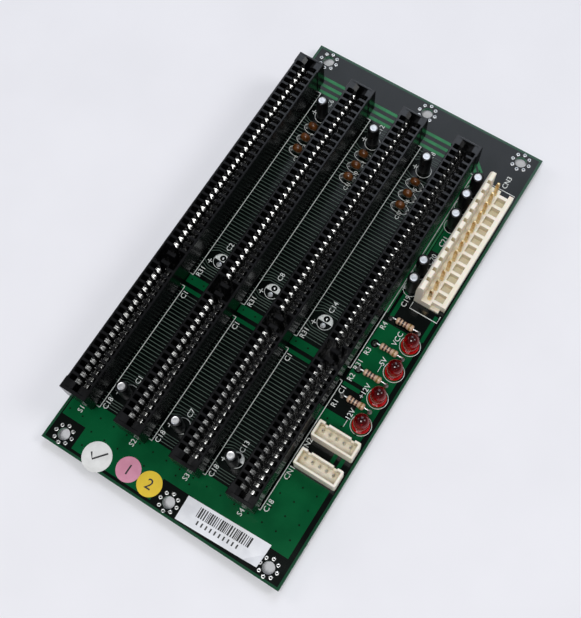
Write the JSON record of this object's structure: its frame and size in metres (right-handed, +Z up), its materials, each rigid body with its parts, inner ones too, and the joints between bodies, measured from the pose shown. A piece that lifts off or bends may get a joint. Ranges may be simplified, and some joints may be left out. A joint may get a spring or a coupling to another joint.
{
  "type": "backplane board",
  "caption": "Passive computer backplane: a green circuit board with long black card slots, a power header, small shrouded headers, indicator lamps and capacitors.",
  "frame": {"origin": "centre of the board outline, at the plane of the trimmed lead tips that the board lies on", "axes": "+X across the card slots towards the power header, +Y along the slots towards the far fixing holes, +Z up out of the component side"},
  "size_m": [0.0888, 0.1676, 0.0191],
  "materials": {
    "green_solder_mask": "glossy solder mask over glass-fibre laminate",
    "solder": "wave-soldered tin",
    "slot_plastic": "moulded black",
    "contact_plating": "bright tin plate",
    "header_nylon": "natural nylon",
    "pin_plating": "tinned brass",
    "led_lens": "tinted epoxy",
    "resistor_coating": "lacquered, colour bands",
    "capacitor_sleeve": "shrunk sleeve",
    "ceramic_coating": "dipped epoxy"
  },
  "bodies": {
    "root": {"ceramic_capacitor_1": "ceramic_coating", "ceramic_capacitor_2": "ceramic_coating", "ceramic_capacitor_3": "ceramic_coating", "ceramic_capacitor_4": "ceramic_coating", "ceramic_capacitor_5": "ceramic_coating", "ceramic_capacitor_6": "ceramic_coating", "ceramic_capacitor_7": "ceramic_coating", "ceramic_capacitor_8": "ceramic_coating", "ceramic_capacitor_9": "ceramic_coating", "circuit_board": "green_solder_mask", "electrolytic_capacitor_01": "capacitor_sleeve", "electrolytic_capacitor_02": "capacitor_sleeve", "electrolytic_capacitor_03": "capacitor_sleeve", "electrolytic_capacitor_04": "capacitor_sleeve", "electrolytic_capacitor_05": "capacitor_sleeve", "electrolytic_capacitor_06": "capacitor_sleeve", "electrolytic_capacitor_07": "capacitor_sleeve", "electrolytic_capacitor_08": "capacitor_sleeve", "electrolytic_capacitor_09": "capacitor_sleeve", "electrolytic_capacitor_10": "capacitor_sleeve", "electrolytic_capacitor_11": "capacitor_sleeve", "indicator_led_1": "led_lens", "indicator_led_2": "led_lens", "indicator_led_3": "led_lens", "indicator_led_4": "led_lens", "lead_joints": "solder", "power_header_body": "header_nylon", "power_header_pins": "pin_plating", "resistor_1": "resistor_coating", "resistor_2": "resistor_coating", "resistor_3": "resistor_coating", "resistor_4": "resistor_coating", "slot_contacts_1": "contact_plating", "slot_contacts_2": "contact_plating", "slot_contacts_3": "contact_plating", "slot_contacts_4": "contact_plating", "slot_housing_1": "slot_plastic", "slot_housing_2": "slot_plastic", "slot_housing_3": "slot_plastic", "slot_housing_4": "slot_plastic", "small_header_body_1": "header_nylon", "small_header_body_2": "header_nylon", "small_header_pins_1": "pin_plating", "small_header_pins_2": "pin_plating"}
  },
  "joints": []
}
